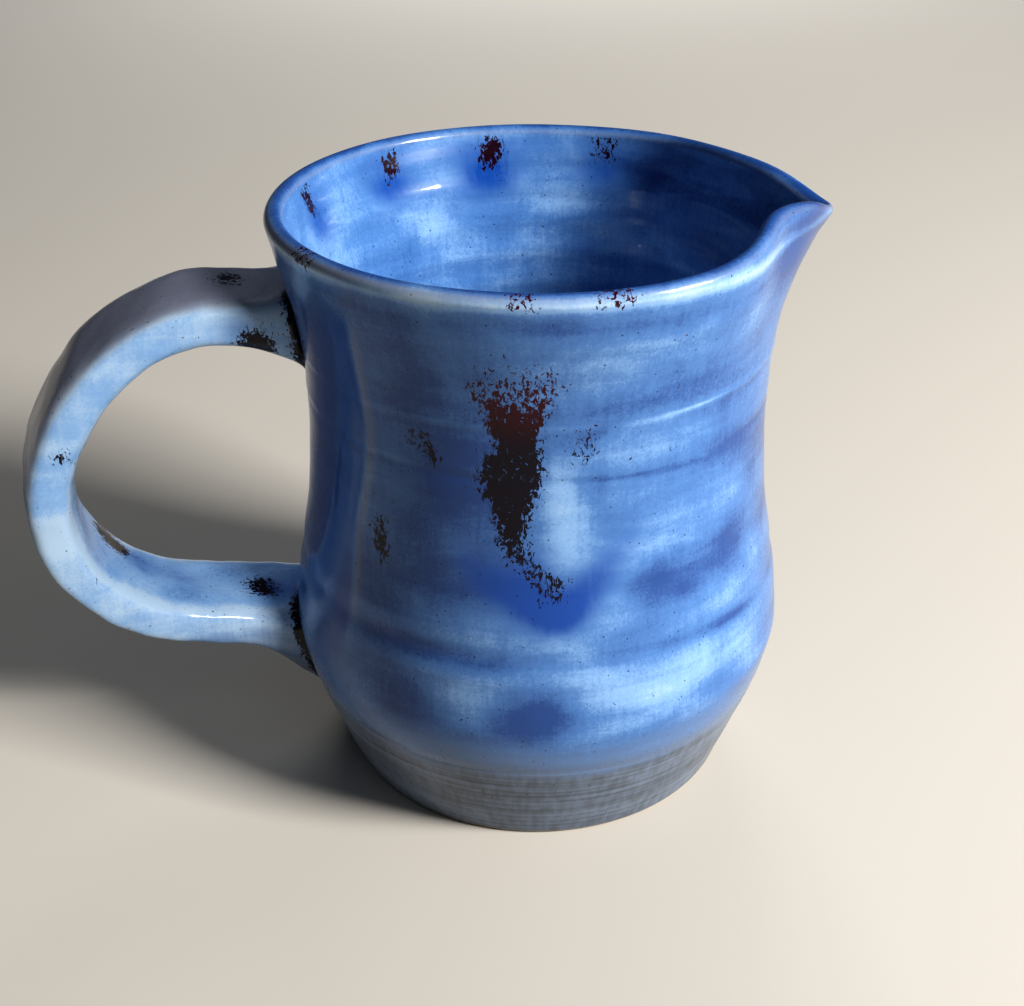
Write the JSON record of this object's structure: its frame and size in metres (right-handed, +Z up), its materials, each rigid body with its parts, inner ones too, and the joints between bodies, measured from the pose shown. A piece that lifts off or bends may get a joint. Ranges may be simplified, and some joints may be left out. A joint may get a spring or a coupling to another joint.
{
  "type": "ceramic pitcher",
  "caption": "Small wheel-thrown pitcher with a waisted body, a pulled pouring spout and a pulled strap handle joined to the wall at two places.",
  "frame": {"origin": "on the throwing axis, in the plane that the base stands on", "axes": "+Z up along the throwing axis, +X towards the pouring spout, so the handle is on the -X side; the row is about 148 mm long, 93 mm wide and 114 mm high"},
  "size_m": [0.1477, 0.0934, 0.1136],
  "materials": {
    "body_glaze": "glossy cobalt-blue glaze with paler breaks and dark iron specks over stoneware",
    "handle_glaze": "glossy pale-blue glaze, thin on the edges",
    "slip_glaze": "glossy blue glaze pooled in the corner"
  },
  "bodies": {
    "root": {"thrown_body": "body_glaze", "pulled_handle": "handle_glaze", "upper_slip_joint": "slip_glaze", "lower_slip_joint": "slip_glaze"}
  },
  "joints": []
}
